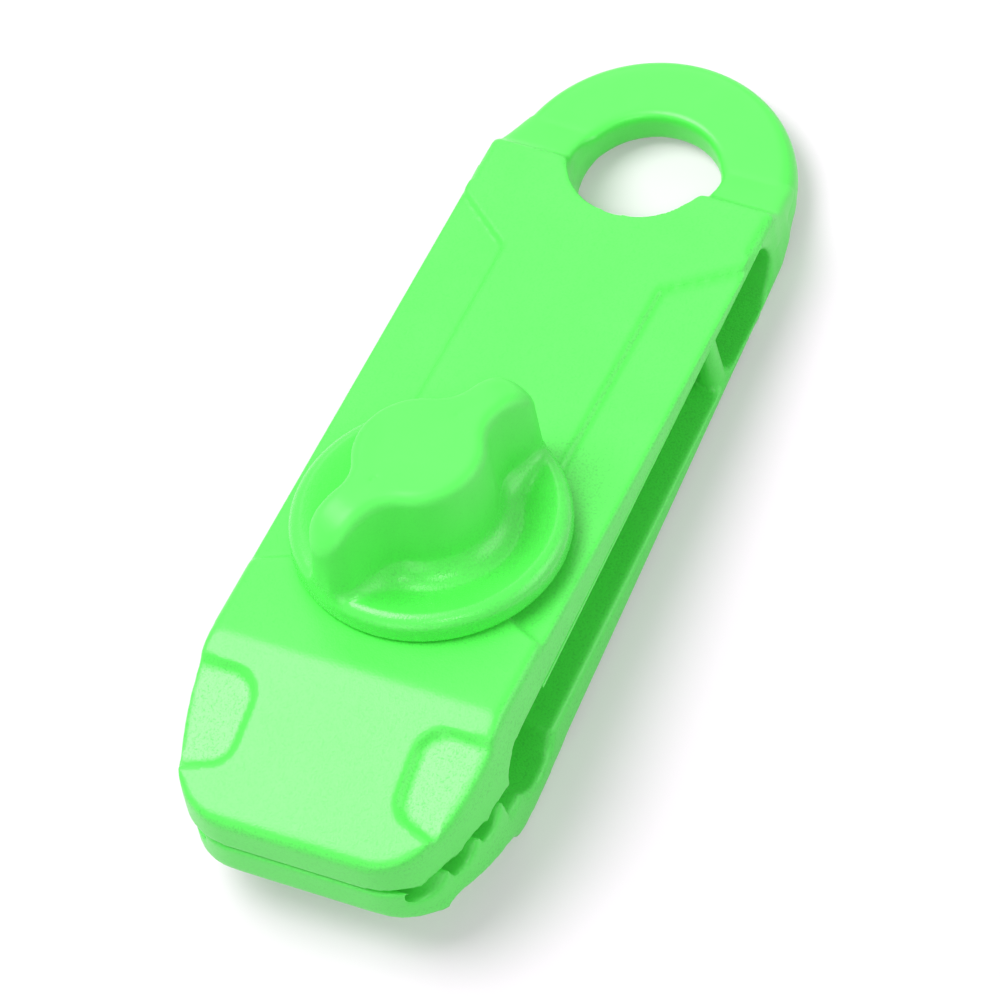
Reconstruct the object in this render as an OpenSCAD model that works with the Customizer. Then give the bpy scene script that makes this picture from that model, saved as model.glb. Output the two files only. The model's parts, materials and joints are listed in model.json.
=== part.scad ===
// Tarp clip: a springy nylon moulding with toothed jaws at one end and an eyelet
// at the other, closed by a thumb screw that pulls a nut held in the lower arm.
// The moulding is drawn about its own middle plane, x = 0 on the screw, with the
// eyelet towards +x. It is then laid down with the lower arm flat on z = 0.

/* [Moulding] */
// Width across the arms
arm_w = 35.6; // [32:0.2:45]
// Screw axis to the tip of the nose
nose_reach = 39.8; // [37:0.1:46]
// Screw axis to the centre of the eyelet
eye_reach = 56.8; // [55.5:0.1:60]
// Thickness over both arms at the screw axis
arms_t = 18.5; // [18:0.1:24]
// Slope of each outer face towards the eyelet, in degrees
taper = 4.35; // [3.6:0.05:4.6]
// Gap between the two arms
slot_h = 8.8; // [8:0.1:9.4]
// Radius along the outer edges of the arms
edge_r = 1.2; // [0.6:0.1:1.6]
// Draft of each side towards the eyelet, in degrees
side_draft = 0.45; // [0:0.05:0.8]

/* [Nose and teeth] */
// Screw axis to the crease where the nose begins to slope
crease_reach = 20; // [18:0.5:22]
// Thickness over both jaws at the tip of the nose
nose_t = 10; // [9:0.5:12]
// Radius of the nose's corners, seen from above
nose_corner_r = 7.5; // [5:0.5:9]
// How far each side of the nose draws in
nose_draw_in = 1.8; // [1.2:0.1:3]
// Pitch of the teeth
tooth_pitch = 5; // [4.6:0.1:5.2]
// Number of teeth on the lower jaw
tooth_n = 3; // [2:1:3]
// Height of the lower jaw's fin-shaped teeth
tooth_h = 2.1; // [1.4:0.1:2.6]
// Depth of the scallops in the upper jaw
scallop_h = 0.8; // [0.5:0.1:1.1]
// Gap between the closed jaws
jaw_gap = 0.3; // [0.2:0.05:0.6]

/* [Eyelet] */
// Diameter of the hole in the eyelet
eye_d = 16.6; // [14:0.2:17.4]
// Outside diameter of the eyelet
eye_od = 33.8; // [30:0.2:36]
// Thickness of the eyelet
eye_t = 4.6; // [4:0.1:5]
// How far the eyelet lies below the middle plane
eye_drop = 1; // [0:0.1:1.2]

/* [Thumb screw] */
// Diameter of the knob's dished disc
knob_d = 31.2; // [28:0.2:33]
// Thickness of the disc at its rim
rim_t = 3.6; // [3:0.1:4.2]
// Diameter of the hub
hub_d = 14.8; // [14:0.2:17]
// Height of the hub above the arm
knob_h = 14.8; // [13.5:0.1:18]
// Direction of the wings, in degrees
wing_turn = -22.5; // [-45:0.5:0]
// Diameter of the screw's shank
screw_d = 6; // [5:0.1:6.4]

/* [Hidden] */
$fn = 64;
nylon = "#66ec62";
zinc = "#b9bdc2";

// Cuts run this far past what they cut
overrun = 1;
// Clearance in the bending joints, round a turning shank and under the disc
flex_clear = 0.05;
shank_clear = 0.07;
seat_clear = 0.1;
// Room for the nut and the shank to lean in the lower arm
nut_side_clear = 0.12;
nut_lean_clear = 0.75;
nut_lift_clear = 0.4;
shank_lean_clear = 0.75;

// Where the arms bend, and where the slot and the full thickness end, all
// measured back from the centre of the eyelet
hinge_back = 10.2;
slot_end_back = 5.2;
step_back = 3;
eye_wall_t = 1.6;
eye_notch_clear = 0.3;
eye_edge_r = 1.8;
eye_lip_r = 0.8;

// Sunken side panels on the outer faces
panel_depth = 0.8;
panel_top_back = 10.8;
panel_shoulder_back = 16.8;
panel_foot_x = -6.5;
panel_heel_x = -10.5;
panel_rib_w = 19.2;

// Finger pockets on the sloping nose, measured down the slope from the crease
pocket_depth = 1;
pocket_wall_run = 0.9;
pocket_top = 4.1;
pocket_len = 10.3;
pocket_skew = 2;
pocket_rib_w = 20.8;
pocket_corner_r = 2.8;
film = 0.01;

// Teeth: the first tooth of each jaw, and their flanks
tooth_first_x = -24.4;
cusp_first_x = -22;
tooth_back = 0.8;
tooth_root = 4.1;
fin_run = 2.9;
cusp_drop = 0.5;
nose_edge_r = 1.2;
lip_in = 1.4;

// Hollow in the lower arm behind its teeth
hollow_x = -16.2;
hollow_z = -2.4;
hollow_r = 4.7;

// Posts that keep the arms apart near the eyelet
post_back = 19.8;
post_in = 2;
post_d = 3.4;
post_tip_d = 2.4;
post_gap = 0.3;

// Screw, nut and the boss round them
head_af = 10;
head_t = 4;
head_floor = 3.3;
nut_af = 10;
nut_t = 3.2;
nut_drop = 14.1;
shank_drop = 17.9;
shank_tip = 0.8;
boss_d = 17;
boss_h = 2.4;

// Knob: rounding and dish
rim_r = 1.5;
rim_foot_r = 0.5;
dish_r = 10.8;
dish_z = 2.3;
hub_foot_r = 2.6;
hub_edge_r = 1.2;
hub_draft = 0.35;

// Wings: the ridge, its fillets to the hub and its rounded outer end
wing_w = 3.6;
wing_spread = 0.8;
wing_drop = 0.3;
wing_edge_r = 0.8;
wing_root_r = 4.8;
wing_end_r = 3.2;
wing_end_lean = 0.5;

// Worked-out places
half_w = arm_w / 2;
slot_r = slot_h / 2;
eye_r = eye_d / 2;
eye_or = eye_od / 2;
hinge_x = eye_reach - hinge_back;
slot_end_x = eye_reach - slot_end_back;
step_x = eye_reach - step_back;
panel_top_x = eye_reach - panel_top_back;
panel_shoulder_x = eye_reach - panel_shoulder_back;
post_x = eye_reach - post_back;
hinge_r = (skin(hinge_x) - slot_r) / 2;
hinge_z = (skin(hinge_x) + slot_r) / 2;
nose_x = -nose_reach;
slab_w = 2 * side(nose_x) + overrun;
crease_x = -crease_reach;
nose_slope = atan((skin(crease_x) - nose_t / 2) / (nose_reach - crease_reach));
nose_edge_z = nose_t / 2 - nose_edge_r * (1 - sin(nose_slope)) / cos(nose_slope);
draw_run = nose_reach - nose_corner_r - crease_reach;
draw_r = (draw_run * draw_run + nose_draw_in * nose_draw_in) / (2 * nose_draw_in);

// The part is centred on the length that it covers once it is laid down
reach_eye = (eye_reach + eye_or - eye_edge_r) * cos(taper)
    + (eye_t / 2 - eye_edge_r - eye_drop) * sin(taper) + eye_edge_r;
reach_nose = (nose_reach - nose_edge_r) * cos(taper) + nose_edge_z * sin(taper) + nose_edge_r;
shift_x = (reach_nose - reach_eye) / 2;
lift_z = arms_t / 2 * cos(taper);

// Height of the outer face above the middle plane
function skin(x) = arms_t / 2 - tan(taper) * x;

// Half width of the arms
function side(x) = half_w - tan(side_draft) * x;

// Points of an arc about (x, y), from one angle to another
function arc(x, y, r, from, to, n) = [for (i = [0:n]) let (a = from + (to - from) * i / n) [x + r * cos(a), y + r * sin(a)]];

// Lays the moulding's frame down on its lower arm
module laid_down() {
    translate([shift_x, 0, lift_z]) rotate([0, taper, 0]) children();
}

// The upper outer face: origin on the screw axis, z out of the face
module on_upper_face() {
    translate([0, 0, arms_t / 2]) rotate([0, taper, 0]) children();
}

// Extrudes a side view across the arms
module across(w) {
    translate([0, w / 2, 0]) rotate([90, 0, 0]) linear_extrude(w) children();
}

module both_sides() {
    children();
    mirror([0, 1, 0]) children();
}

// Outline of one arm from above: straight sides, then a nose that draws in
draw_y = side(crease_x) - draw_r;
draw_a = asin(draw_run / (draw_r - nose_corner_r));
nose_flank = arc(crease_x, draw_y, draw_r, 90, 90 + draw_a, 10);
corner_y = draw_y + sqrt(pow(draw_r - nose_corner_r, 2) - draw_run * draw_run);
nose_corner = arc(nose_x + nose_corner_r, corner_y, nose_corner_r, 90 + draw_a, 180, 10);
half_outline = concat([[slot_end_x, side(slot_end_x)]], nose_flank, nose_corner);
arm_outline = concat(half_outline, [for (i = [len(half_outline) - 1:-1:0]) [half_outline[i][0], -half_outline[i][1]]]);

// Outer face in side view, from the bending line to the lip of the nose
outer_line = concat(
    [[hinge_x, skin(hinge_x)], [crease_x, skin(crease_x)]],
    arc(nose_x + nose_edge_r, nose_edge_z,
        nose_edge_r, 90 + nose_slope, 180, 6));

// Inner face of the upper arm: the slot, its rounded end, then scallops
cusp_n = tooth_n + 1;
scallop_r = (pow(tooth_pitch / 2, 2) + scallop_h * scallop_h) / (2 * scallop_h);
scallop_a = asin(tooth_pitch / 2 / scallop_r);
upper_inner = concat(
    [[nose_x, jaw_gap / 2], [nose_x + lip_in, jaw_gap / 2]],
    [for (i = [cusp_n - 1:-1:1])
        let (x = cusp_first_x - (i - 0.5) * tooth_pitch)
        each arc(x, scallop_h - cusp_drop - scallop_r, scallop_r, 90 + scallop_a, 90 - scallop_a, 8)],
    arc(cusp_first_x + slot_r, 0, slot_r, 180, 90, 12),
    [[hinge_x, slot_r]]);

// Inner face of the lower arm, drawn upside down: fin-shaped teeth and a hollow
function fin(x) = [for (i = [8:-1:0]) let (s = i / 8) [x - fin_run * s, tooth_h * (1 - pow(1 - s, 2)) + jaw_gap / 3]];
lower_inner = concat(
    [[nose_x, jaw_gap / 2], [nose_x + lip_in, jaw_gap / 2]],
    [for (i = [tooth_n - 1:-1:0])
        let (x = tooth_first_x - i * tooth_pitch)
        each concat([[x - tooth_pitch + tooth_back, tooth_h + jaw_gap / 3]], fin(x))],
    [[tooth_first_x + tooth_back, tooth_root], [cusp_first_x, tooth_root], [cusp_first_x + tooth_back, slot_r]],
    [[hinge_x, slot_r]]);

// One arm as an upper arm, its inner face given in side view
module arm_blank(inner) {
    difference() {
        intersection() {
            union() {
                across(slab_w) polygon(concat(outer_line, inner));
                translate([hinge_x, 0, hinge_z]) rotate([90, 0, 0]) cylinder(r = hinge_r, h = slab_w, center = true);
            }
            translate([0, 0, -arms_t]) linear_extrude(2 * arms_t) polygon(arm_outline);
        }
        both_sides() long_edge();
        both_sides() side_panel();
        both_sides() finger_pocket();
    }
}

// Rounds the outer long edge of an arm
module long_edge() {
    on_upper_face() translate([0, half_w, 0]) rotate([0, 0, -side_draft])
        translate([crease_x - overrun, 0, 0]) rotate([0, 90, 0])
        linear_extrude(eye_reach - crease_x + overrun)
            difference() {
                translate([-overrun, -edge_r]) square([edge_r + overrun, edge_r + overrun]);
                translate([edge_r, -edge_r]) circle(edge_r);
            }
}

// Sunken panel along one side of the outer face
module side_panel() {
    on_upper_face() translate([0, 0, -panel_depth]) linear_extrude(panel_depth + overrun)
        polygon([
            [panel_top_x + overrun, slab_w / 2],
            [panel_shoulder_x, panel_rib_w / 2],
            [panel_foot_x, panel_rib_w / 2],
            [panel_heel_x, slab_w / 2]
        ]);
}

// Outline of a finger pocket, its walls moved out by grow
function pocket_outline(grow) = concat(
    [[grow - pocket_top, slab_w / 2]],
    arc(-pocket_top - pocket_corner_r, pocket_rib_w / 2 + pocket_corner_r,
        pocket_corner_r + grow, 0, -90, 6),
    arc(-pocket_top - pocket_len + pocket_corner_r, pocket_rib_w / 2 + pocket_corner_r,
        pocket_corner_r + grow, -90, -180, 6),
    [[-pocket_top - pocket_len - pocket_skew - grow, slab_w / 2]]);

// Finger pocket at one side of the nose, with sloping walls and open to the side
module finger_pocket() {
    translate([crease_x, 0, skin(crease_x)]) rotate([0, -nose_slope, 0]) hull() {
        linear_extrude(overrun) polygon(pocket_outline(pocket_wall_run));
        translate([0, 0, -pocket_depth]) linear_extrude(film) polygon(pocket_outline(0));
    }
}

// Hexagon with two flats facing +y and -y
module hexagon(af, stretch = 0) {
    c = af / 2 / cos(30);
    polygon([for (i = [0:5]) let (a = 60 * i) [c * cos(a) + stretch * sign(round(2 * cos(a))), c * sin(a)]]);
}

module upper_arm() {
    color(nylon) laid_down() difference() {
        arm_blank(upper_inner);
        on_upper_face() translate([0, 0, -arms_t]) cylinder(d = screw_d + 2 * shank_clear, h = arms_t + overrun);
    }
}

module lower_arm() {
    color(nylon) laid_down() difference() {
        union() {
            mirror([0, 0, 1]) difference() {
                arm_blank(lower_inner);
                translate([hollow_x, 0, -hollow_z]) rotate([90, 0, 0]) cylinder(r = hollow_r, h = slab_w, center = true);
            }
            // Boss that the nut pulls against
            translate([nut_x(), 0, -slot_r - overrun]) cylinder(d = boss_d, h = boss_h + overrun);
            both_sides() translate([post_x, half_w - post_in, -slot_r - post_gap])
                cylinder(d1 = post_d, d2 = post_tip_d, h = slot_h);
        }
        on_upper_face() {
            translate([0, 0, -2 * arms_t]) cylinder(d = screw_d + 2 * shank_lean_clear, h = 2 * arms_t);
            translate([0, 0, -2 * arms_t]) linear_extrude(2 * arms_t - nut_drop + nut_lift_clear)
                hexagon(nut_af + 2 * nut_side_clear, nut_lean_clear);
        }
    }
}

// Where the leaning screw axis meets the lower arm's inner face
function nut_x() = -(arms_t / 2 + slot_r) * tan(taper);

module eyelet_end() {
    color(nylon) laid_down() difference() {
        union() {
            intersection() {
                across(slab_w) difference() {
                    polygon([
                        [hinge_x, skin(hinge_x)], [step_x, skin(step_x)], [eye_reach, eye_t / 2 - eye_drop],
                        [eye_reach, -eye_t / 2 - eye_drop], [step_x, -skin(step_x)], [hinge_x, -skin(hinge_x)]
                    ]);
                    translate([slot_end_x - slot_r, 0]) circle(slot_r);
                    translate([hinge_x - arm_w, -slot_r]) square([arm_w + slot_end_x - slot_r - hinge_x, slot_h]);
                }
                translate([0, 0, -arms_t]) linear_extrude(2 * arms_t) polygon([
                    [hinge_x, -side(hinge_x)], [eye_reach, -side(eye_reach)],
                    [eye_reach, side(eye_reach)], [hinge_x, side(hinge_x)]
                ]);
            }
            // Eyelet with rounded edges
            intersection() {
                translate([eye_reach, 0, -eye_drop]) rotate_extrude() eyelet_section();
                translate([step_x - overrun, -arm_w, -arms_t]) cube([arm_w, 2 * arm_w, 2 * arms_t]);
            }
            // Wall that closes the eyelet towards the slot
            intersection() {
                translate([eye_reach, 0, -slot_r - overrun / 2]) cylinder(r = eye_r + eye_wall_t, h = slot_h + overrun);
                translate([hinge_x, -arm_w, -arms_t]) cube([step_x - hinge_x, 2 * arm_w, 2 * arms_t]);
            }
        }
        // The hole, opened out a little above and below the eyelet
        translate([eye_reach, 0, -arms_t]) cylinder(r = eye_r, h = 2 * arms_t);
        for (level = [0, 1]) translate([eye_reach, 0, -eye_drop]) mirror([0, 0, level])
            translate([0, 0, eye_t / 2 - eye_lip_r]) cylinder(r = eye_r + eye_notch_clear, h = arms_t);
        both_sides() {
            long_edge();
            mirror([0, 0, 1]) long_edge();
        }
        for (level = [-1, 1]) translate([hinge_x, 0, level * hinge_z]) rotate([90, 0, 0])
            cylinder(r = hinge_r + flex_clear, h = slab_w, center = true);
    }
}

// Cross-section of the eyelet, from the hole out to the rounded rim
module eyelet_section() {
    polygon(concat(
        arc(eye_r + eye_lip_r, -eye_t / 2 + eye_lip_r, eye_lip_r, 180, 270, 6),
        arc(eye_or - eye_edge_r, -eye_t / 2 + eye_edge_r, eye_edge_r, 270, 360, 8),
        arc(eye_or - eye_edge_r, eye_t / 2 - eye_edge_r, eye_edge_r, 0, 90, 8),
        arc(eye_r + eye_lip_r, eye_t / 2 - eye_lip_r, eye_lip_r, 90, 180, 6)));
}

module thumb_knob() {
    color(nylon) laid_down() on_upper_face() difference() {
        union() {
            rotate_extrude() polygon(concat(
                [[0, seat_clear]],
                arc(knob_d / 2 - rim_foot_r, seat_clear + rim_foot_r, rim_foot_r, 270, 360, 4),
                arc(knob_d / 2 - rim_r, rim_t - rim_r, rim_r, 0, 100, 8),
                [[dish_r, dish_z]],
                arc(hub_d / 2 + hub_draft + hub_foot_r, dish_z + hub_foot_r, hub_foot_r, 255, 180, 8),
                arc(hub_d / 2 - hub_edge_r, knob_h - hub_edge_r, hub_edge_r, 0, 90, 6),
                [[0, knob_h]]));
            for (half = [0, 180]) rotate([0, 0, wing_turn + half]) wing();
        }
        translate([0, 0, seat_clear - overrun]) cylinder(d = screw_d + 2 * shank_clear, h = head_floor + overrun);
        translate([0, 0, head_floor]) linear_extrude(head_t) hexagon(head_af);
    }
}

// Seen from above, the web that blends a wing into the hub
wing_axis_y = wing_w / 2 + wing_root_r;
wing_axis_r = hub_d / 2 + wing_root_r;
wing_axis_x = sqrt(wing_axis_r * wing_axis_r - wing_axis_y * wing_axis_y);
wing_flank = arc(wing_axis_x, wing_axis_y, wing_root_r, 180 + asin(wing_axis_y / wing_axis_r), 270, 10);
wing_web = concat([[0, 0]], wing_flank, [for (i = [len(wing_flank) - 1:-1:0]) [wing_flank[i][0], -wing_flank[i][1]]]);

// One wing: a round-topped ridge from the hub to the rim, filleted to the hub
module wing() {
    top = knob_h - wing_drop;
    right_edge = arc(wing_w / 2 - wing_edge_r, top - wing_edge_r, wing_edge_r, 0, 90, 6);
    left_edge = arc(wing_edge_r - wing_w / 2, top - wing_edge_r, wing_edge_r, 90, 180, 6);
    intersection() {
        union() {
            rotate([90, 0, 90]) linear_extrude(knob_d) polygon(concat(
                [[-wing_w / 2 - wing_spread, dish_z / 2], [wing_w / 2 + wing_spread, dish_z / 2]],
                right_edge, left_edge));
            translate([0, 0, dish_z / 2]) linear_extrude(top - wing_edge_r / 2 - dish_z / 2) polygon(wing_web);
        }
        rotate_extrude() polygon(concat(
            [[0, 0], [knob_d / 2 - seat_clear, 0]],
            arc(knob_d / 2 - wing_end_lean - wing_end_r, top - wing_end_r, wing_end_r, 0, 90, 8),
            [[0, top]]));
    }
}

module clamp_screw() {
    color(zinc) laid_down() on_upper_face() {
        translate([0, 0, head_floor]) linear_extrude(head_t) hexagon(head_af);
        translate([0, 0, -shank_drop + shank_tip]) cylinder(d = screw_d, h = shank_drop - shank_tip + head_floor + head_t / 2);
        translate([0, 0, -shank_drop]) cylinder(d1 = screw_d - shank_tip, d2 = screw_d, h = shank_tip);
    }
}

module captive_nut() {
    color(zinc) laid_down() on_upper_face() translate([0, 0, -nut_drop - nut_t]) difference() {
        linear_extrude(nut_t) hexagon(nut_af);
        translate([0, 0, -overrun]) cylinder(d = screw_d + 2 * shank_clear, h = nut_t + 2 * overrun);
    }
}

lower_arm();
eyelet_end();
upper_arm();
thumb_knob();
clamp_screw();
captive_nut();
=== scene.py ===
"""Tarp clip: a springy nylon moulding with toothed jaws at one end and an eyelet at the
other, closed by a winged thumb screw that pulls a nut held in the lower arm.

Sizes are in millimetres, and MM turns them to the frame's metres.
"""

import json
import math

import bmesh
import bpy
from mathutils import Matrix, Vector


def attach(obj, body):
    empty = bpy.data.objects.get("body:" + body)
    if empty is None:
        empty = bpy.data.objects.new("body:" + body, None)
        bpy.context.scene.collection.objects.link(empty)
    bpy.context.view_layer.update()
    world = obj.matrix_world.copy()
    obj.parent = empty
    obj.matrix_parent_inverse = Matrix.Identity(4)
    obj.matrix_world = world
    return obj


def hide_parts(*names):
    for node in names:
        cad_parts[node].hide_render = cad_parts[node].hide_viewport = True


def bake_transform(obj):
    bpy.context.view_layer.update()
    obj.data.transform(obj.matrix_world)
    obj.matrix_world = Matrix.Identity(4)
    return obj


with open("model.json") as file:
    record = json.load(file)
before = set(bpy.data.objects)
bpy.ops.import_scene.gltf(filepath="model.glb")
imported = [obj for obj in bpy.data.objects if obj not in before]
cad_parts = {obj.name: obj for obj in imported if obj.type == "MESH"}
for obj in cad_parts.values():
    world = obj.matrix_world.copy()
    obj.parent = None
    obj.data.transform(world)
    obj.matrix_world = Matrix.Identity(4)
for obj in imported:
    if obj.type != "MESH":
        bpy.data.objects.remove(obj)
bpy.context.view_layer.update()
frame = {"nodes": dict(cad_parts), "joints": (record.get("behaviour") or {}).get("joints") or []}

# Moulding: one piece of nylon, moulded with its two arms and its eyelet together, which
# bends at the thin roots of the arms. Each half is skinned here from the parting plane
# outwards, over its arm and the eyelet end.
MM = 0.001
WELD = 0.002  # points nearer to each other than this become one
SNAP = 1e-4  # points nearer to a cut than this count as on it
SHARP_ANGLE = math.radians(38)  # edges that turn more than this are shaded sharp
SKIN_GRAIN = 0.34 # spacing of the skin's points, which gives edges of about 0.4 mm
SKIN_PASSES = 2
SOFT_PASSES = 9  # further passes where the edges are as round as about 1 mm
ROOT_WIDTH = 34.6
ROOT_WALL = 1.28
ROOT_FILL = 1.6
OUTER_SLOPE = math.tan(math.radians(4.35))
SIDE_DRAFT = math.tan(math.radians(0.45))
HALF_WIDTH = 17.8
SLOT_Z = 4.4
PANEL_BAND = 0.9  # thickness of the outer layer that holds the sunken panels
STRAIGHT_X = 45.5
BEND_X = 46.6
EYELET_SIDE_X = 44  # past the posts, where the halves are parted
CREASE_X = -20
NOSE_X = -39.8
CREASE_Z = 10.77
NOSE_Z = 5
NOSE_SLOPE = Vector((NOSE_Z - CREASE_Z, 0, CREASE_X - NOSE_X)).normalized()
SOFT_Z = 3.7
SOFT_X = CREASE_X + 1  # the nose's edges are soft from just before the crease
LIP_Y = 16.4
LIP_X = (-14, 40)
SEAM_X = (-12, 50)
SEAM_R = 0.2
SEAM_SIDES = 10
SEAM_IN = 0.14  # from the arm's side to the middle of the seam
SEAM_UP = 0.05  # from the slot's face to the middle of the seam
POCKET_X = (-36.5, -22)
POCKET_Y = (9, 15.6)
POCKET_REACH = 2  # the pockets lie less deep than this below the nose's slope
POCKET_DEPTHS = (0.55, 1.3)  # their floors lie between these depths
POCKET_FLOOR_TILT = math.cos(math.radians(28))  # and lean off the slope by less than this
JAW_SKEW = -0.6  # the lower jaw sits a little to one side
JAW_SKEW_X = (-20, -32)
UPPER_DRAFT = math.tan(math.radians(3))  # each side of the upper arm leans in by this
RING_X = 56
RING_Y = 12  # halfway across the ring's side
RING_SOFT_X = (52.5, 60.5)
RING_Z = {-1: -3.25, 1: 1.2}  # where the lower and the upper ramps run into the ring
RAMP_EDGE_R = 0.9
RAMP_EDGE_STEPS = 4
RAMP_TOP = 4.4
RAMP_X = (53.0, 60.5)
RAMP_OUTER_Y = (17.6, 16.55)
RAMP_HOLE = ((53.0, 7.7), (55.0, 8.4), (57.0, 8.6), (59.0, 8.3), (60.5, 7.75))
RING_TEXTURE = 0.12
ARM_TEXTURE = 0.6
INNER_TEXTURE = 0.3  # on the teeth, the slot's faces and all that lies near the parting plane
POCKET_TEXTURE = 0.9

scene = bpy.context.scene
joints = {joint["name"]: joint for joint in frame["joints"]}
lower_bend = Vector(joints["lower_bend"]["pos_m"])
upper_bend = Vector(joints["upper_bend"]["pos_m"])
out_of_slot = (upper_bend - lower_bend).normalized()
along_slot = Vector((out_of_slot.z, 0, -out_of_slot.x))
across_arms = Vector((0, 1, 0))
parting_middle = (upper_bend + lower_bend) / 2 - along_slot * BEND_X * MM
# From the moulding's own frame, in millimetres, to the part's frame
moulding_place = (
    Matrix.Translation(parting_middle)
    @ Matrix((along_slot, across_arms, out_of_slot)).transposed().to_4x4()
    @ Matrix.Scale(MM, 4)
)


def linear(code):
    """The linear colour of an sRGB hex value."""
    shares = [int(code[i : i + 2], 16) / 255 for i in (1, 3, 5)]
    return [s / 12.92 if s <= 0.04045 else ((s + 0.055) / 1.055) ** 2.4 for s in shares] + [1]


def new_material(name):
    """A material with no nodes yet."""
    material = bpy.data.materials.new(name)
    material.use_nodes = True
    material.node_tree.nodes.clear()
    return material


def add(owner, kind, values=None, links=None):
    """Adds a node to a material or world, with its settings and the links into it."""
    node = owner.node_tree.nodes.new(kind)
    for name, value in (values or {}).items():
        if isinstance(name, int) or name in node.inputs:
            node.inputs[name].default_value = value
        else:
            setattr(node, name, value)
    for name, source in (links or {}).items():
        owner.node_tree.links.new(source, node.inputs[name])
    return node


def piece_from(shape, name, material):
    """A piece from a bmesh, smooth but for its sharp edges, with its material."""
    for edge in shape.edges:
        edge.smooth = edge.calc_face_angle(0) < SHARP_ANGLE
    mesh = bpy.data.meshes.new(name)
    shape.to_mesh(mesh)
    shape.free()
    mesh.polygons.foreach_set("use_smooth", [True] * len(mesh.polygons))
    mesh.materials.append(material)
    piece = bpy.data.objects.new(name, mesh)
    scene.collection.objects.link(piece)
    return piece


def smooth(shape, verts, passes):
    """Evens out a mesh at some of its points."""
    for _ in range(passes):
        bmesh.ops.smooth_vert(
            shape, verts=verts, factor=0.5, use_axis_x=True, use_axis_y=True, use_axis_z=True
        )


def skinned(shape, grain):
    """One closed skin over all the solids of a bmesh."""
    mesh = bpy.data.meshes.new("skin")
    shape.to_mesh(mesh)
    shape.free()
    holder = bpy.data.objects.new("skin", mesh)
    scene.collection.objects.link(holder)
    remesh = holder.modifiers.new("skin", "REMESH")
    remesh.mode = "VOXEL"
    remesh.voxel_size = grain
    skin = bmesh.new()
    skin.from_mesh(holder.evaluated_get(bpy.context.evaluated_depsgraph_get()).to_mesh())
    bpy.data.objects.remove(holder)
    return skin


def between(value, limits):
    """Whether a value lies between two limits."""
    return min(limits) < value < max(limits)


def share_of(value, start, end):
    """How far a value has gone from start to end, eased at both."""
    share = min(max((value - start) / (end - start), 0), 1)
    return share * share * (3 - 2 * share)


def slope_depth(x, z):
    """How deep a point lies below the sloping face of the nose."""
    return NOSE_Z + (CREASE_Z - NOSE_Z) * (x - NOSE_X) / (CREASE_X - NOSE_X) - z


def extra_passes(x, y, z, lower):
    """How much rounder the moulding is at a place than at the finger pockets' crisp edges."""
    in_pocket = between(x, POCKET_X) and between(abs(y), POCKET_Y)
    if in_pocket and slope_depth(x, z) < POCKET_REACH:
        return 0
    on_nose = x < SOFT_X and z > SOFT_Z
    on_lip = lower and abs(y) > LIP_Y and between(x, LIP_X)
    return SOFT_PASSES if on_nose or on_lip or between(x, RING_SOFT_X) else SKIN_PASSES


def squared_up(shape, outward, back=False):
    """Shears an arm square to the skin's grid, so that its edges come out straight, or back."""
    height = CREASE_Z - PANEL_BAND - SLOT_Z
    if not back:
        end_z = SLOT_Z + height - (STRAIGHT_X - CREASE_X) * OUTER_SLOPE
        for point, normal in (
            ((CREASE_X, 0, 0), (1, 0, 0)),
            ((STRAIGHT_X, 0, 0), (1, 0, 0)),
            ((0, 0, SLOT_Z), (0, 0, 1)),
            ((0, 0, end_z), (0, 0, 1)),
            ((CREASE_X, 0, SLOT_Z + height), (OUTER_SLOPE, 0, 1)),
        ):
            bmesh.ops.bisect_plane(
                shape,
                geom=list(shape.verts) + list(shape.edges) + list(shape.faces),
                plane_co=(point[0], 0, point[2] * outward),
                plane_no=(normal[0], 0, normal[2] * outward),
                dist=SNAP,
            )
    for v in shape.verts:
        run = min(max(v.co.x, CREASE_X), STRAIGHT_X)
        fall = (run - CREASE_X) * OUTER_SLOPE
        width = (HALF_WIDTH - run * SIDE_DRAFT) / (HALF_WIDTH - CREASE_X * SIDE_DRAFT)
        now, then = (height, height - fall) if back else (height - fall, height)
        rise = v.co.z * outward - SLOT_Z
        if rise > 0:
            rise = rise * then / now if rise < now else rise + then - now
        v.co.y *= width if back else 1 / width
        v.co.z = (rise + SLOT_Z) * outward


def texture_share(x, y, z, facing):
    """How rough the mould's wall is at a place on the moulding, from polished to coarse."""
    if x > RING_X:
        return RING_TEXTURE
    in_pocket = between(x, POCKET_X) and abs(y) > POCKET_Y[0]
    at_floor = between(slope_depth(x, z), POCKET_DEPTHS)
    faces_like_floor = facing.dot(NOSE_SLOPE) > POCKET_FLOOR_TILT
    if in_pocket and at_floor and faces_like_floor:
        return POCKET_TEXTURE
    return ARM_TEXTURE if z > SOFT_Z else INNER_TEXTURE


def add_root_slug(shape, outward):
    """Fills the joint's running gap with a slug as thick as the root."""
    slug = bmesh.ops.create_cube(shape, size=1)["verts"]
    root_z = (upper_bend - lower_bend).length / 2 / MM
    for v in slug:
        x, y, z = v.co.x * ROOT_FILL, v.co.y * ROOT_WIDTH, root_z + v.co.z * ROOT_WALL
        if v.co.z > 0:
            z -= x * OUTER_SLOPE
        v.co = (BEND_X + x, y, z * outward)


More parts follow.
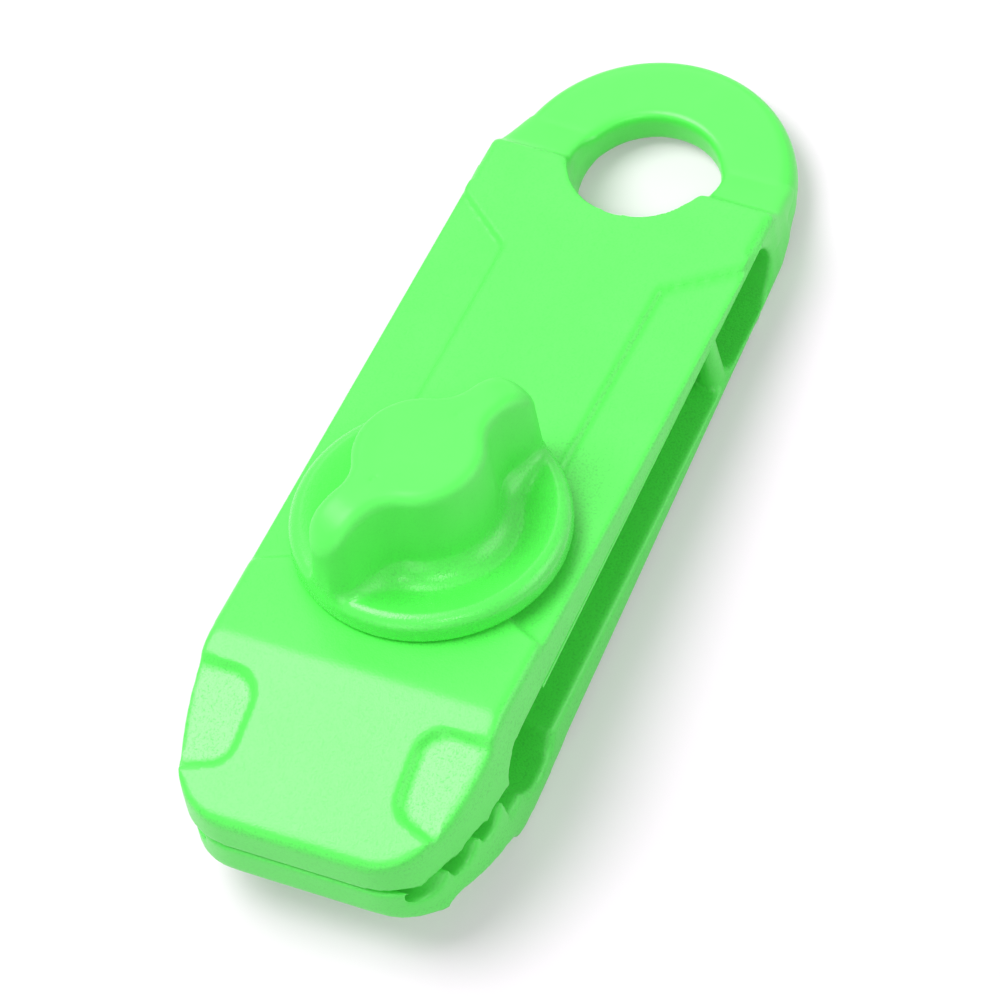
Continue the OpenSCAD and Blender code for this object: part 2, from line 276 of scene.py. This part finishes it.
def add_ramps(shape, outward):
    """Leads the thick end of the arm down and straight into the ring, on each side."""
    for side in (1, -1):
        plan = RAMP_HOLE + ((RAMP_X[1], RAMP_OUTER_Y[1]), (RAMP_X[0], RAMP_OUTER_Y[0]))
        base = shape.faces.new([shape.verts.new((x, side * y, 0)) for x, y in plan])
        raised = bmesh.ops.extrude_face_region(shape, geom=[base])["geom"]
        top = [v for v in raised if isinstance(v, bmesh.types.BMVert)]
        for v in top:
            share = (v.co.x - RAMP_X[0]) / (RAMP_X[1] - RAMP_X[0])
            v.co.z = RAMP_TOP * outward * (1 - share) + RING_Z[outward] * share
        flank = [v for v in top if abs(v.co.y) > RING_Y]
        bmesh.ops.bevel(
            shape,
            geom=[e for e in flank[0].link_edges if flank[1] in e.verts],
            offset=RAMP_EDGE_R,
            segments=RAMP_EDGE_STEPS,
            profile=0.5,
            affect="EDGES",
            material=-1,
        )


def soften(skin, outward):
    """Rounds the edges of an arm's skin, the crisp ones least."""
    smooth(skin, skin.verts, 1)
    passes = {
        v: extra_passes(v.co.x, v.co.y, v.co.z * outward, outward < 0) for v in skin.verts
    }
    smooth(skin, [v for v in skin.verts if passes[v]], SKIN_PASSES)
    smooth(skin, [v for v in skin.verts if passes[v] > SKIN_PASSES], SOFT_PASSES)


def part_at_eyelet(skin, outward):
    """Cuts the eyelet end off at the parting plane and closes the cut."""
    near = {v for v in skin.verts if v.co.x > EYELET_SIDE_X}
    faces = [f for f in skin.faces if near.issuperset(f.verts)]
    edges = list({e for f in faces for e in f.edges})
    cut = bmesh.ops.bisect_plane(
        skin,
        geom=list(near) + edges + faces,
        plane_co=(0, 0, 0),
        plane_no=(0, 0, outward),
        dist=SNAP,
        clear_inner=True,
    )
    rim = [g for g in cut["geom_cut"] if isinstance(g, bmesh.types.BMEdge)]
    bmesh.ops.triangle_fill(skin, edges=rim, normal=(0, 0, -outward))


def add_seams(skin):
    """Fine seams along the upper lips of the slot, where the tool's halves met."""
    for side in (1, -1):
        ends = [
            Vector((x, side * (HALF_WIDTH - x * SIDE_DRAFT - SEAM_IN), SLOT_Z + SEAM_UP))
            for x in SEAM_X
        ]
        turn = Vector((0, 0, 1)).rotation_difference(ends[1] - ends[0]).to_matrix().to_4x4()
        bmesh.ops.create_cone(
            skin,
            cap_ends=True,
            segments=SEAM_SIDES,
            radius1=SEAM_R,
            radius2=SEAM_R,
            depth=SEAM_X[1] - SEAM_X[0],
            matrix=Matrix.Translation((ends[0] + ends[1]) / 2) @ turn,
        )


def moulding_half(arm, outward):
    """An arm and the eyelet end, skinned together and cut off at the parting plane."""
    shape = bmesh.new()
    for node in (arm, "eyelet_end"):
        shape.from_mesh(frame["nodes"][node].data)
    bmesh.ops.transform(shape, matrix=moulding_place.inverted(), verts=shape.verts)
    bmesh.ops.remove_doubles(shape, verts=shape.verts, dist=WELD)
    add_root_slug(shape, outward)
    add_ramps(shape, outward)
    bmesh.ops.recalc_face_normals(shape, faces=shape.faces)
    squared_up(shape, outward)
    skin = skinned(shape, SKIN_GRAIN)
    squared_up(skin, outward, back=True)
    texture = skin.verts.layers.float.new("texture")
    soften(skin, outward)
    skin.normal_update()
    for v in skin.verts:
        x, y, z = v.co
        facing = Vector((v.normal.x, v.normal.y, v.normal.z * outward))
        v[texture] = texture_share(x, y, z * outward, facing)
        if outward < 0:
            v.co.y += JAW_SKEW * share_of(x, *JAW_SKEW_X)
        elif z > SLOT_Z and x < RAMP_X[0]:
            v.co.y *= 1 - UPPER_DRAFT * (z - SLOT_Z) / HALF_WIDTH
    part_at_eyelet(skin, outward)
    if outward > 0:
        add_seams(skin)
    bmesh.ops.transform(skin, matrix=moulding_place, verts=skin.verts)
    return skin


# Nylon, PA6, moulded in a spark-eroded tool: bright green right through, with a fine grain
# that breaks up its highlights. The tool is coarse in the finger pockets, fine on the arms
# and almost polished on the eyelet, and the grain follows the mesh's texture attribute.
# Its deepest pits carry painted shade, and its coarsest grain carries a paler painted sheen.
NYLON_GREEN = "#5cf05c"
NYLON_DEEP_GREEN = "#52ea53"
NYLON_PAINTED_PIT_SHADE = "#4ad24e"
NYLON_PAINTED_SHEEN_GREEN = "#7cf27c"
PIT_ROUGHNESS = 0.1
GRAIN_SIZE = 0.26
GRAIN_DEPTH = 0.06  # deeper than the real grain, which is too fine to show
FLOW_SIZE = 9.0


def green_nylon(name, fine_roughness, coarse_roughness):
    """Green nylon whose grain, roughness, painted pit shade and painted sheen follow the mesh's
    texture attribute.
    """
    nylon = new_material(name)
    place = add(nylon, "ShaderNodeTexCoord").outputs["Object"]
    grain = add(
        nylon,
        "ShaderNodeTexNoise",
        {"Scale": 1 / (GRAIN_SIZE * MM), "Detail": 2.0, "Roughness": 0.6},
        {"Vector": place},
    ).outputs["Fac"]
    texture = add(nylon, "ShaderNodeAttribute", {"attribute_name": "texture"}).outputs["Fac"]
    pits = add(
        nylon,
        "ShaderNodeBump",
        {"Distance": GRAIN_DEPTH * MM},
        {"Height": grain, "Strength": texture},
    )
    shine = add(
        nylon,
        "ShaderNodeMapRange",
        {"From Min": 0.1, "From Max": 0.5, "To Min": fine_roughness, "To Max": coarse_roughness},
        {"Value": texture},
    )
    # Slow streaks of pigment, as the melt flowed into the mould
    flow = add(
        nylon,
        "ShaderNodeTexNoise",
        {"Scale": 1 / (FLOW_SIZE * MM), "Detail": 3.0, "Distortion": 0.6},
        {"Vector": place},
    ).outputs["Fac"]
    pigment = add(
        nylon,
        "ShaderNodeMix",
        {"data_type": "RGBA", 6: linear(NYLON_DEEP_GREEN), 7: linear(NYLON_GREEN)},
        {0: flow},
    )
    # Painted shade: the deepest pits of the grain are painted darker, as little light comes out of
    # them
    deepest = add(
        nylon, "ShaderNodeMapRange", {"From Min": 0.5, "From Max": 0.3}, {"Value": grain}
    ).outputs["Result"]
    depth = add(
        nylon, "ShaderNodeMath", {"operation": "MULTIPLY"}, {0: deepest, 1: texture}
    ).outputs["Value"]
    roughness = add(
        nylon,
        "ShaderNodeMath",
        {"operation": "MULTIPLY_ADD", 1: PIT_ROUGHNESS},
        {0: depth, 2: shine.outputs["Result"]},
    )
    # Painted sheen: the coarsest grain is painted paler, for the light that it scatters
    painted_sheen_share = add(
        nylon, "ShaderNodeMapRange", {"From Min": 0.6, "From Max": 1.0}, {"Value": texture}
    )
    with_painted_sheen = add(
        nylon,
        "ShaderNodeMix",
        {"data_type": "RGBA", 7: linear(NYLON_PAINTED_SHEEN_GREEN)},
        {0: painted_sheen_share.outputs["Result"], 6: pigment.outputs[2]},
    )
    # Painted shade in the deepest pits, laid over the pigment and its painted sheen
    colour = add(
        nylon,
        "ShaderNodeMix",
        {"data_type": "RGBA", 7: linear(NYLON_PAINTED_PIT_SHADE)},
        {0: depth, 6: with_painted_sheen.outputs[2]},
    )
    surface = add(
        nylon,
        "ShaderNodeBsdfPrincipled",
        {"IOR": 1.53},
        {
            "Base Color": colour.outputs[2],
            "Roughness": roughness.outputs["Value"],
            "Normal": pits.outputs["Normal"],
        },
    )
    add(nylon, "ShaderNodeOutputMaterial", None, {"Surface": surface.outputs["BSDF"]})
    return nylon


moulding_nylon = green_nylon(
    "spark_eroded_green_nylon", fine_roughness=0.34, coarse_roughness=0.34
)
upper_half = piece_from(
    moulding_half("upper_arm", 1), "upper_moulding", moulding_nylon
)
lower_half = piece_from(
    moulding_half("lower_arm", -1), "lower_moulding", moulding_nylon
)
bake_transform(upper_half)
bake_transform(lower_half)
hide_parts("upper_arm", "eyelet_end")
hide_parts("lower_arm")

# Thumb knob: the same nylon, moulded round the head of the screw. A dished disc carries a
# round hub, and two wings sweep from the hub out and down to the rim, with wide fillets.
HUB_R = 7.4
HUB_TOP = 14.8
WING_HALF_W = 2.6
WING_ROOT_R = 4.8
WING_END_R = 15.3
WING_CROWN_R = 9.8  # from here on outwards the wings' tops fall
WING_FALL = 6.2
WING_TURN = math.radians(-24.3)
WALL_DRAFT = math.tan(math.radians(2))
RIM_R = 15.6
RIM_T = 3.6
RIM_EDGE_R = 1.6
RIM_EDGE_END = 105  # degrees, where the rim's edge turns down into the dish
RIM_FOOT_R = 0.5
RIM_FOOT_STEPS = 4
WING_INSET = 0.25  # the wings' ends stay inside the rim by this
DISH_R = 10.4
DISH_Z = 2.2
FOOT_R = 3.3
FOOT_START = 262  # degrees, where the foot fillet leaves the dish
HUB_SINK = 1  # from the dish down to the hub's foot inside the disc
TOP_EDGE_R = 1.4
TOP_RINGS = (0.4, 0.7, 1)  # rings across the flat top, from its edge inwards
TOP_SLIT = 0.1  # half width that the innermost ring leaves over a wing
CORE_R = HUB_R - 2
AXIS_R = 0.01  # a spun profile ends just off its axis
SEAT = 0.1
BORE_R = 3.1
BORE_TOP = 3.3
KNOB_WELD = 0.003
KNOB_GRAIN = 0.21
KNOB_PASSES = 5
BOWL_R = (HUB_R, RIM_R - RIM_EDGE_R)
BOWL_Z = (SEAT + 1, RIM_T + 1)
BOWL_PASSES = 60
DISH_TEXTURE = 0.6
WALL_TEXTURE_FALL = 0.45  # how much less it is on the walls
WALL_TEXTURE_Z = 9
ARC_STEPS = 10
FLANK_STEPS = 6
SPIN_STEPS = 96

screw_place = (
    Matrix.Translation(Vector(joints["screw_turn"]["pos_m"]))
    @ Vector((0, 0, 1)).rotation_difference(Vector(joints["screw_turn"]["axis"])).to_matrix().to_4x4()
    @ Matrix.Scale(MM, 4)
)


def arc(x, y, r, start, end, steps=ARC_STEPS):
    """Points of an arc about (x, y), from one angle to another in degrees."""
    turns = [math.radians(start + (end - start) * i / steps) for i in range(steps + 1)]
    return [(x + r * math.cos(a), y + r * math.sin(a)) for a in turns]


def ring_of(shape, points):
    """A closed ring of edges through points."""
    verts = [shape.verts.new(p) for p in points]
    return [shape.edges.new((verts[i - 1], verts[i])) for i in range(len(verts))]


def spun(shape, profile, steps):
    """Spins a closed profile of (radius, height) points round the screw's axis."""
    edges = ring_of(shape, [(r, 0, z) for r, z in profile])
    verts = list({v for e in edges for v in e.verts})
    bmesh.ops.spin(
        shape,
        geom=verts + edges,
        cent=(0, 0, 0),
        axis=(0, 0, 1),
        angle=math.tau,
        steps=steps,
        use_merge=True,
    )
    bmesh.ops.recalc_face_normals(shape, faces=shape.faces)


def wing_outline(spread):
    """Hub and wings from above, standing out by spread from their outline at the top."""
    hub, half, root = HUB_R + spread, WING_HALF_W + spread, WING_ROOT_R - spread
    centre = math.sqrt((hub + root) ** 2 - (half + root) ** 2)
    lean = math.degrees(math.asin((half + root) / (hub + root)))
    end = WING_END_R + spread
    flank = arc(centre, half + root, root, 180 + lean, 270)
    for i in range(1, FLANK_STEPS):
        flank.append((centre + (end - half - centre) * i / FLANK_STEPS, half))
    flank += arc(end - half, 0, half, 90, 0)
    wing = flank + [(x, -y) for x, y in reversed(flank[:-1])]
    half_way = wing[::-1] + arc(0, 0, hub, lean, 180 - lean, 2 * ARC_STEPS)[1:-1]
    return half_way + [(-x, -y) for x, y in half_way]


def crown(r):
    """Height of the wings' tops, which fall in a quarter of an ellipse to their ends."""
    past = min(max((r - WING_CROWN_R) / (RIM_R - WING_CROWN_R), 0), 1)
    return HUB_TOP - WING_FALL * (1 - math.sqrt(1 - past * past))


def winged_hub(shape):
    """Hub and wings in rings, from their foot fillet up over their rounded top edge."""
    levels = [(DISH_Z - HUB_SINK, FOOT_R)]
    levels += [(DISH_Z + FOOT_R + y, FOOT_R + x) for x, y in arc(0, 0, FOOT_R, FOOT_START, 180)]
    levels += [(HUB_TOP - TOP_EDGE_R + y, x - TOP_EDGE_R) for x, y in arc(0, 0, TOP_EDGE_R, 0, 90)]
    inwards = WING_HALF_W - TOP_SLIT - TOP_EDGE_R
    levels += [(HUB_TOP, -TOP_EDGE_R - inwards * share) for share in TOP_RINGS]
    rings = []
    for height, spread in levels:
        share = (height - DISH_Z) / (HUB_TOP - DISH_Z)
        points = []
        for x, y in wing_outline(spread + WALL_DRAFT * (HUB_TOP - height)):
            r = math.hypot(x, y)
            inside = min(r, RIM_R - WING_INSET) / r
            z = DISH_Z + share * (crown(r) - DISH_Z)
            points.append(Matrix.Rotation(WING_TURN, 3, "Z") @ Vector((inside * x, inside * y, z)))
        rings.append(ring_of(shape, points))
    for below, above in zip(rings, rings[1:]):
        bmesh.ops.bridge_loops(shape, edges=below + above)
    for ring in (rings[0], rings[-1]):
        bmesh.ops.edgeloop_fill(shape, edges=ring)


knob = bmesh.new()
winged_hub(knob)
spun(
    knob,
    [(BORE_R, SEAT)]
    + arc(RIM_R - RIM_FOOT_R, SEAT + RIM_FOOT_R, RIM_FOOT_R, -90, 0, RIM_FOOT_STEPS)
    + arc(RIM_R - RIM_EDGE_R, RIM_T - RIM_EDGE_R, RIM_EDGE_R, 0, RIM_EDGE_END)
    + [(DISH_R, DISH_Z), (CORE_R, DISH_Z)]
    + [(CORE_R, HUB_TOP), (AXIS_R, HUB_TOP), (AXIS_R, BORE_TOP), (BORE_R, BORE_TOP)],
    SPIN_STEPS,
)
bmesh.ops.remove_doubles(knob, verts=knob.verts, dist=KNOB_WELD)
bmesh.ops.recalc_face_normals(knob, faces=knob.faces)
knob = skinned(knob, KNOB_GRAIN)
smooth(knob, knob.verts, KNOB_PASSES)
bowl = [v for v in knob.verts if between(v.co.z, BOWL_Z) and between(v.co.xy.length, BOWL_R)]
smooth(knob, bowl, BOWL_PASSES)
texture = knob.verts.layers.float.new("texture")
for v in knob.verts:
    v[texture] = DISH_TEXTURE - WALL_TEXTURE_FALL * share_of(v.co.z, DISH_Z, WALL_TEXTURE_Z)
bmesh.ops.transform(knob, matrix=screw_place, verts=knob.verts)
# The dish shines more than the walls, although its grain is coarser
knob_nylon = green_nylon(
    "fine_textured_green_nylon", fine_roughness=0.5, coarse_roughness=0.26
)
knob_piece = piece_from(knob, "winged_knob", knob_nylon)
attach(knob_piece, "thumb_screw")
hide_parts("thumb_knob")

# Clamp screw: a zinc-plated steel screw with a hexagon head, which the knob is moulded
# round. Its rolled thread crosses the slot and ends in the nut's pocket below.
SHANK_R = 2.98
SHANK_END = -17.9
SHANK_CHAMFER = 0.8
THREAD_PITCH = 1.0
THREAD_DEPTH = 0.6
THREAD_STEPS = 40
THREAD_FLOOR = 0.2  # the flat at the thread's root, as a share of the pitch
THREAD_CREST = (0.54, 0.66)  # where its crest starts and ends, as shares too
TURNS_BELOW = 2  # turns that are cut off again below the shank's end
SPARE_TURNS = 3
HEAD_FLATS = 10
HEAD_FLOOR = 3.3
HEAD_T = 4
HEAD_CHAMFER = 0.4
HEAD_STEPS = 72
SHANK_TOP = HEAD_FLOOR + 1
FLAT_SNAP = 1e-5


def cut_flat(shape, point, outwards):
    """Cuts a closed shape along a plane, drops what lies beyond it and closes the cut."""
    geometry = list(shape.verts) + list(shape.edges) + list(shape.faces)
    cut = bmesh.ops.bisect_plane(
        shape, geom=geometry, plane_co=point, plane_no=outwards, dist=FLAT_SNAP, clear_outer=True
    )
    rim = [g for g in cut["geom_cut"] if isinstance(g, bmesh.types.BMEdge)]
    bmesh.ops.edgeloop_fill(shape, edges=rim)


def cut_hexagon(shape, across_flats):
    """Cuts the six flats of a nut or a screw head."""
    for i in range(6):
        turn = math.radians(30 + 60 * i)
        flat = Vector((math.cos(turn), math.sin(turn), 0))
        cut_flat(shape, flat * across_flats / 2, flat)


screw = bmesh.new()
thread_turns = round((SHANK_TOP - SHANK_END) / THREAD_PITCH) + SPARE_TURNS
outline = []
for i in range(thread_turns):
    root = SHANK_END + (i - TURNS_BELOW) * THREAD_PITCH
    for share in (0, THREAD_FLOOR):
        outline.append((SHANK_R - THREAD_DEPTH, root + share * THREAD_PITCH))
    for share in THREAD_CREST:
        outline.append((SHANK_R, root + share * THREAD_PITCH))
verts = [screw.verts.new((r, 0, z)) for r, z in outline]
edges = [screw.edges.new(pair) for pair in zip(verts, verts[1:])]
bmesh.ops.spin(
    screw,
    geom=verts + edges,
    cent=(0, 0, 0),
    axis=(0, 0, 1),
    dvec=(0, 0, THREAD_PITCH / THREAD_STEPS),
    angle=math.tau,
    steps=THREAD_STEPS,
)
bmesh.ops.remove_doubles(screw, verts=screw.verts, dist=WELD)
cut_flat(screw, (0, 0, SHANK_END), (0, 0, -1))
cut_flat(screw, (0, 0, SHANK_TOP), (0, 0, 1))
for v in screw.verts:
    limit = SHANK_R - max(SHANK_END + SHANK_CHAMFER - v.co.z, 0)
    v.co.xy *= min(limit / max(v.co.xy.length, limit), 1)
bmesh.ops.recalc_face_normals(screw, faces=screw.faces)
head = bmesh.new()
head_corner = HEAD_FLATS / 2 / math.cos(math.radians(30))
spun(
    head,
    [
        (AXIS_R, HEAD_FLOOR),
        (head_corner, HEAD_FLOOR),
        (head_corner, HEAD_FLOOR + HEAD_T - HEAD_CHAMFER),
        (HEAD_FLATS / 2, HEAD_FLOOR + HEAD_T),
        (AXIS_R, HEAD_FLOOR + HEAD_T),
    ],
    HEAD_STEPS,
)
cut_hexagon(head, HEAD_FLATS)
head_mesh = bpy.data.meshes.new("head")
head.to_mesh(head_mesh)
head.free()
screw.from_mesh(head_mesh)
bmesh.ops.transform(screw, matrix=screw_place, verts=screw.verts)

# Bright zinc plate on steel: a grey metal with a faint blue cast, and a soft brushed
# gloss that the barrel plating leaves uneven.
PLATING_SIZE = 0.8
PLATING_DEPTH = 0.02
PLATING_DARK = "#b4b9bf"
PLATING_PALE = "#cfd2d4"
zinc = new_material("bright_zinc_plated_steel")
zinc_place = add(zinc, "ShaderNodeTexCoord").outputs["Object"]
plating = add(
    zinc,
    "ShaderNodeTexNoise",
    {"Scale": 1 / (PLATING_SIZE * MM), "Detail": 4.0},
    {"Vector": zinc_place},
).outputs["Fac"]
zinc_shine = add(zinc, "ShaderNodeMapRange", {"To Min": 0.22, "To Max": 0.4}, {"Value": plating})
zinc_bump = add(
    zinc,
    "ShaderNodeBump",
    {"Strength": 0.15, "Distance": PLATING_DEPTH * MM},
    {"Height": plating},
)
zinc_tone = add(
    zinc,
    "ShaderNodeMix",
    {"data_type": "RGBA", 6: linear(PLATING_DARK), 7: linear(PLATING_PALE)},
    {0: plating},
)
zinc_surface = add(
    zinc,
    "ShaderNodeBsdfPrincipled",
    {"Metallic": 1.0},
    {
        "Base Color": zinc_tone.outputs[2],
        "Roughness": zinc_shine.outputs["Result"],
        "Normal": zinc_bump.outputs["Normal"],
    },
)
add(zinc, "ShaderNodeOutputMaterial", None, {"Surface": zinc_surface.outputs["BSDF"]})
screw_piece = piece_from(screw, "threaded_screw", zinc)
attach(screw_piece, "thumb_screw")
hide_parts("clamp_screw")

# Captive nut: zinc-plated steel, loose in a hexagon pocket in the underside of the lower
# arm, whose sides keep it from turning. Its corners are chamfered on both faces.
NUT_FLATS = 10
NUT_TOP = -14.1
NUT_T = 3.2
NUT_BORE_R = 3.06
NUT_CHAMFER = 0.35
NUT_FACE_IN = 0.1  # the nut's round faces stay this far inside its flats
nut = bmesh.new()
nut_corner = NUT_FLATS / 2 / math.cos(math.radians(30))
nut_profile = []
for face_z, inwards in ((NUT_TOP, -1), (NUT_TOP - NUT_T, 1)):
    half = [
        (NUT_BORE_R, face_z + inwards * NUT_CHAMFER),
        (NUT_BORE_R + NUT_CHAMFER, face_z),
        (NUT_FLATS / 2 - NUT_FACE_IN, face_z),
        (nut_corner, face_z + inwards * NUT_CHAMFER),
    ]
    nut_profile += half if inwards < 0 else half[::-1]
spun(nut, nut_profile, SPIN_STEPS)
cut_hexagon(nut, NUT_FLATS)
bmesh.ops.recalc_face_normals(nut, faces=nut.faces)
bmesh.ops.transform(nut, matrix=screw_place, verts=nut.verts)
nut_piece = piece_from(nut, "hexagon_nut", zinc)
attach(nut_piece, "captive_nut")
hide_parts("captive_nut")

# Floor and light: a white table in a pale room, under a strong round soft box above the
# clip, with weaker ones behind it, beside it and before its nose, and a small one at the
# camera. The floor keeps the clip's shadow.
FLOOR_SIZE = 6.0
FLOOR_Z = -0.0002
CARD_WHITE = "#f5ebf5"
CARD_GLOW = 0.25  # share of its own light, which keeps the surround white
floor_shape = bmesh.new()
bmesh.ops.create_grid(floor_shape, x_segments=1, y_segments=1, size=FLOOR_SIZE / 2)
floor_mesh = bpy.data.meshes.new("table_top")
floor_shape.to_mesh(floor_mesh)
floor_shape.free()
floor = bpy.data.objects.new("table_top", floor_mesh)
floor.location.z = FLOOR_Z
scene.collection.objects.link(floor)


def white_to_the_eye(owner):
    """1 where the camera, a reflection or clear material looks straight at a surface."""
    ray = add(owner, "ShaderNodeLightPath")
    mirrored = add(
        owner,
        "ShaderNodeMath",
        {"operation": "MAXIMUM"},
        {0: ray.outputs["Is Glossy Ray"], 1: ray.outputs["Is Transmission Ray"]},
    )
    return add(
        owner,
        "ShaderNodeMath",
        {"operation": "MAXIMUM"},
        {0: mirrored.outputs["Value"], 1: ray.outputs["Is Camera Ray"]},
    ).outputs["Value"]


paper = new_material("white_card")
card = add(paper, "ShaderNodeBsdfDiffuse", {"Color": linear(CARD_WHITE)})
glow = add(paper, "ShaderNodeEmission", None, {"Strength": white_to_the_eye(paper)})
lift = add(
    paper,
    "ShaderNodeMixShader",
    {"Fac": CARD_GLOW},
    {1: card.outputs["BSDF"], 2: glow.outputs["Emission"]},
)
add(paper, "ShaderNodeOutputMaterial", None, {"Surface": lift.outputs["Shader"]})
floor_mesh.materials.append(paper)

ROOM_LIGHT = 0.34
world = bpy.data.worlds.new("pale_room")
scene.world = world
world.use_nodes = True
world.node_tree.nodes.clear()
level = add(
    world,
    "ShaderNodeMapRange",
    {"To Min": ROOM_LIGHT, "To Max": 1.0},
    {"Value": white_to_the_eye(world)},
)
room = add(world, "ShaderNodeBackground", None, {"Strength": level.outputs["Result"]})
room.inputs["Color"].default_value = (1, 1, 1, 1)
add(world, "ShaderNodeOutputWorld", None, {"Surface": room.outputs["Background"]})


CLIP_MIDDLE = Vector((0, 0, 0.01))


def soft_box(name, place, size, power):
    """A round area lamp that faces the clip, its size in metres and its power in watts."""
    lamp = bpy.data.lights.new(name, "AREA")
    lamp.shape, lamp.size, lamp.energy = "DISK", size, power
    holder = bpy.data.objects.new(name, lamp)
    holder.location = place
    holder.rotation_euler = (CLIP_MIDDLE - Vector(place)).to_track_quat("-Z", "Y").to_euler()
    scene.collection.objects.link(holder)


soft_box("top_box", (-0.04, 0.34, 0.74), size=0.56, power=5.9)
soft_box("back_box", (0.66, 0.29, 0.5), size=0.6, power=1.0)
soft_box("side_box", (0.26, -0.78, 0.2), size=0.7, power=2.5)
soft_box("nose_box", (-0.85, -0.05, 0.25), size=0.5, power=0.95)
soft_box("camera_box", (-0.42, -0.34, 0.8), size=0.08, power=1.0)

# Camera: at the photograph's angle, a long lens about a metre away.
CAMERA_TURN = math.radians(-51.4745)
CAMERA_RISE = math.radians(58.1331)
CAMERA_ROLL = math.radians(17.7348)
CAMERA_REACH = 0.98607
CAMERA_AIM = moulding_place @ Vector((5.737, -5.683, 10.0))
lens = bpy.data.cameras.new("camera")
lens.sensor_width = 36
lens.lens = 325.63
lens.clip_start, lens.clip_end = 0.05, 20
camera = bpy.data.objects.new("camera", lens)
back = Vector(
    (
        math.sin(CAMERA_TURN) * math.cos(CAMERA_RISE),
        -math.cos(CAMERA_TURN) * math.cos(CAMERA_RISE),
        math.sin(CAMERA_RISE),
    )
)
camera.location = CAMERA_AIM + back * CAMERA_REACH
camera.rotation_mode = "QUATERNION"
camera.rotation_quaternion = Matrix.Rotation(-CAMERA_ROLL, 3, back).to_quaternion() @ (
    -back
).to_track_quat("-Z", "Y")
scene.collection.objects.link(camera)
scene.camera = camera
scene.view_settings.view_transform = "Standard"
